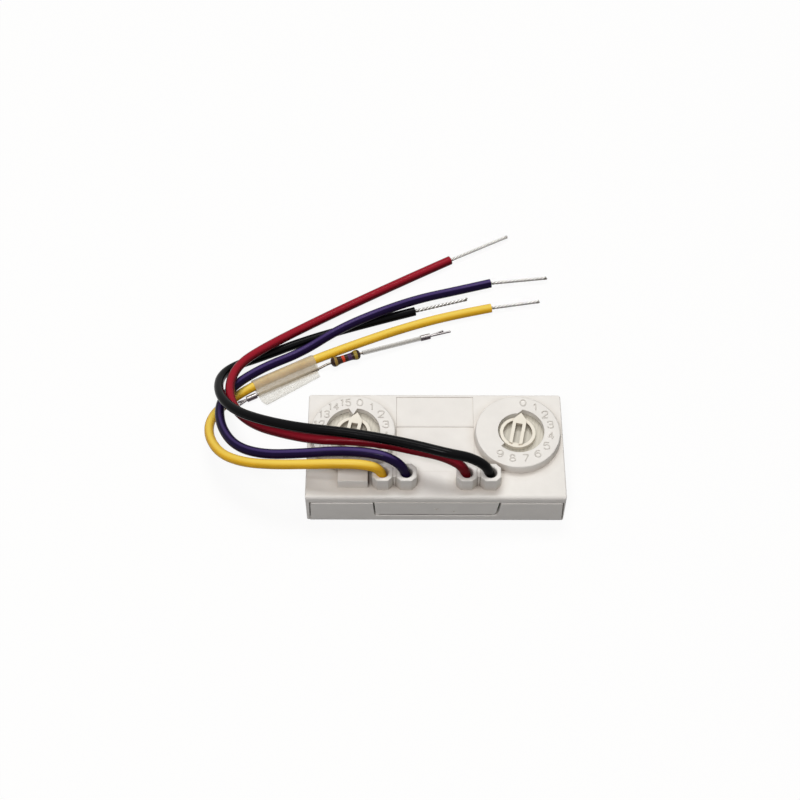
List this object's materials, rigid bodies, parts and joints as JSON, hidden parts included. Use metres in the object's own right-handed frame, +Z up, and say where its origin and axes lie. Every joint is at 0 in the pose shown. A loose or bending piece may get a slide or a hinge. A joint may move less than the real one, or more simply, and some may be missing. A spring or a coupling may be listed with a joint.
{
  "type": "monitor module",
  "caption": "Small white plastic monitor module with rotary address dials on top and coloured wire leads from raised bosses, a resistor taped to the yellow lead.",
  "frame": {"origin": "centre of the housing's underside, where the base meets the surface it lies on", "axes": "+X along the housing's length towards the ones dial, +Y from the lead bosses to the back edge, +Z up out of the dials"},
  "size_m": [0.0993, 0.1003, 0.025],
  "materials": {
    "housing_plastic": "fine moulded texture, warm white",
    "knob_plastic": "smooth moulded, cream",
    "board_laminate": "green solder mask",
    "switch_black": "moulded, black",
    "contact_brass": "stamped",
    "chip_black": "moulded, black",
    "tinned_metal": "tinned",
    "solder": "solder, satin",
    "capacitor_can": "drawn can",
    "crystal_can": "drawn can",
    "resistor_ceramic": "black glaze on ceramic",
    "capacitor_ceramic": "tan ceramic",
    "insulation_black": "vinyl insulation, black",
    "insulation_red": "vinyl insulation, red",
    "insulation_violet": "vinyl insulation, violet",
    "insulation_yellow": "vinyl insulation, yellow",
    "bare_conductor": "bare tinned strands",
    "resistor_coating": "dark brown coating with colour bands",
    "pale_sleeve": "pale sleeve",
    "splice_metal": "crimped, tinned",
    "tape_film": "cream adhesive tape, slightly see-through"
  },
  "bodies": {
    "housing": {"cover": "housing_plastic", "base": "housing_plastic", "circuit_board": "board_laminate", "microcontroller": "chip_black", "microcontroller_leads": "tinned_metal", "smoothing_capacitor": "capacitor_can", "crystal": "crystal_can", "diodes": "chip_black", "transistors": "chip_black", "chip_resistors": "resistor_ceramic", "chip_capacitors": "capacitor_ceramic", "switch_pins": "tinned_metal", "solder_joints": "solder", "tail_cores": "tinned_metal", "tens_switch_body": "switch_black", "tens_switch_lid": "switch_black", "ones_switch_body": "switch_black", "ones_switch_lid": "switch_black", "black_wire_tail": "insulation_black", "red_wire_tail": "insulation_red", "violet_wire_tail": "insulation_violet", "yellow_wire_tail": "insulation_yellow", "black_wire": "insulation_black", "red_wire": "insulation_red", "violet_wire": "insulation_violet", "yellow_wire": "insulation_yellow", "black_wire_end": "bare_conductor", "red_wire_end": "bare_conductor", "violet_wire_end": "bare_conductor", "yellow_wire_end": "bare_conductor", "end_of_line_resistor": "resistor_coating", "resistor_leads": "tinned_metal", "lead_sleeve": "pale_sleeve", "lead_splices": "splice_metal", "adhesive_tape": "tape_film"},
    "tens_dial": {"tens_knob": "knob_plastic", "tens_contact_rotor": "contact_brass"},
    "ones_dial": {"ones_knob": "knob_plastic", "ones_contact_rotor": "contact_brass"}
  },
  "joints": [
    {"name": "tens_turn", "type": "hinge", "parent": "housing", "child": "tens_dial", "pos_m": [-0.02245, 0.00305, 0.0143], "axis": [0, 0, 1], "range_deg": [-337.5, 0]},
    {"name": "ones_turn", "type": "hinge", "parent": "housing", "child": "ones_dial", "pos_m": [0.02245, 0.00305, 0.0143], "axis": [0, 0, 1], "range_deg": [-202.5, 0]}
  ]
}
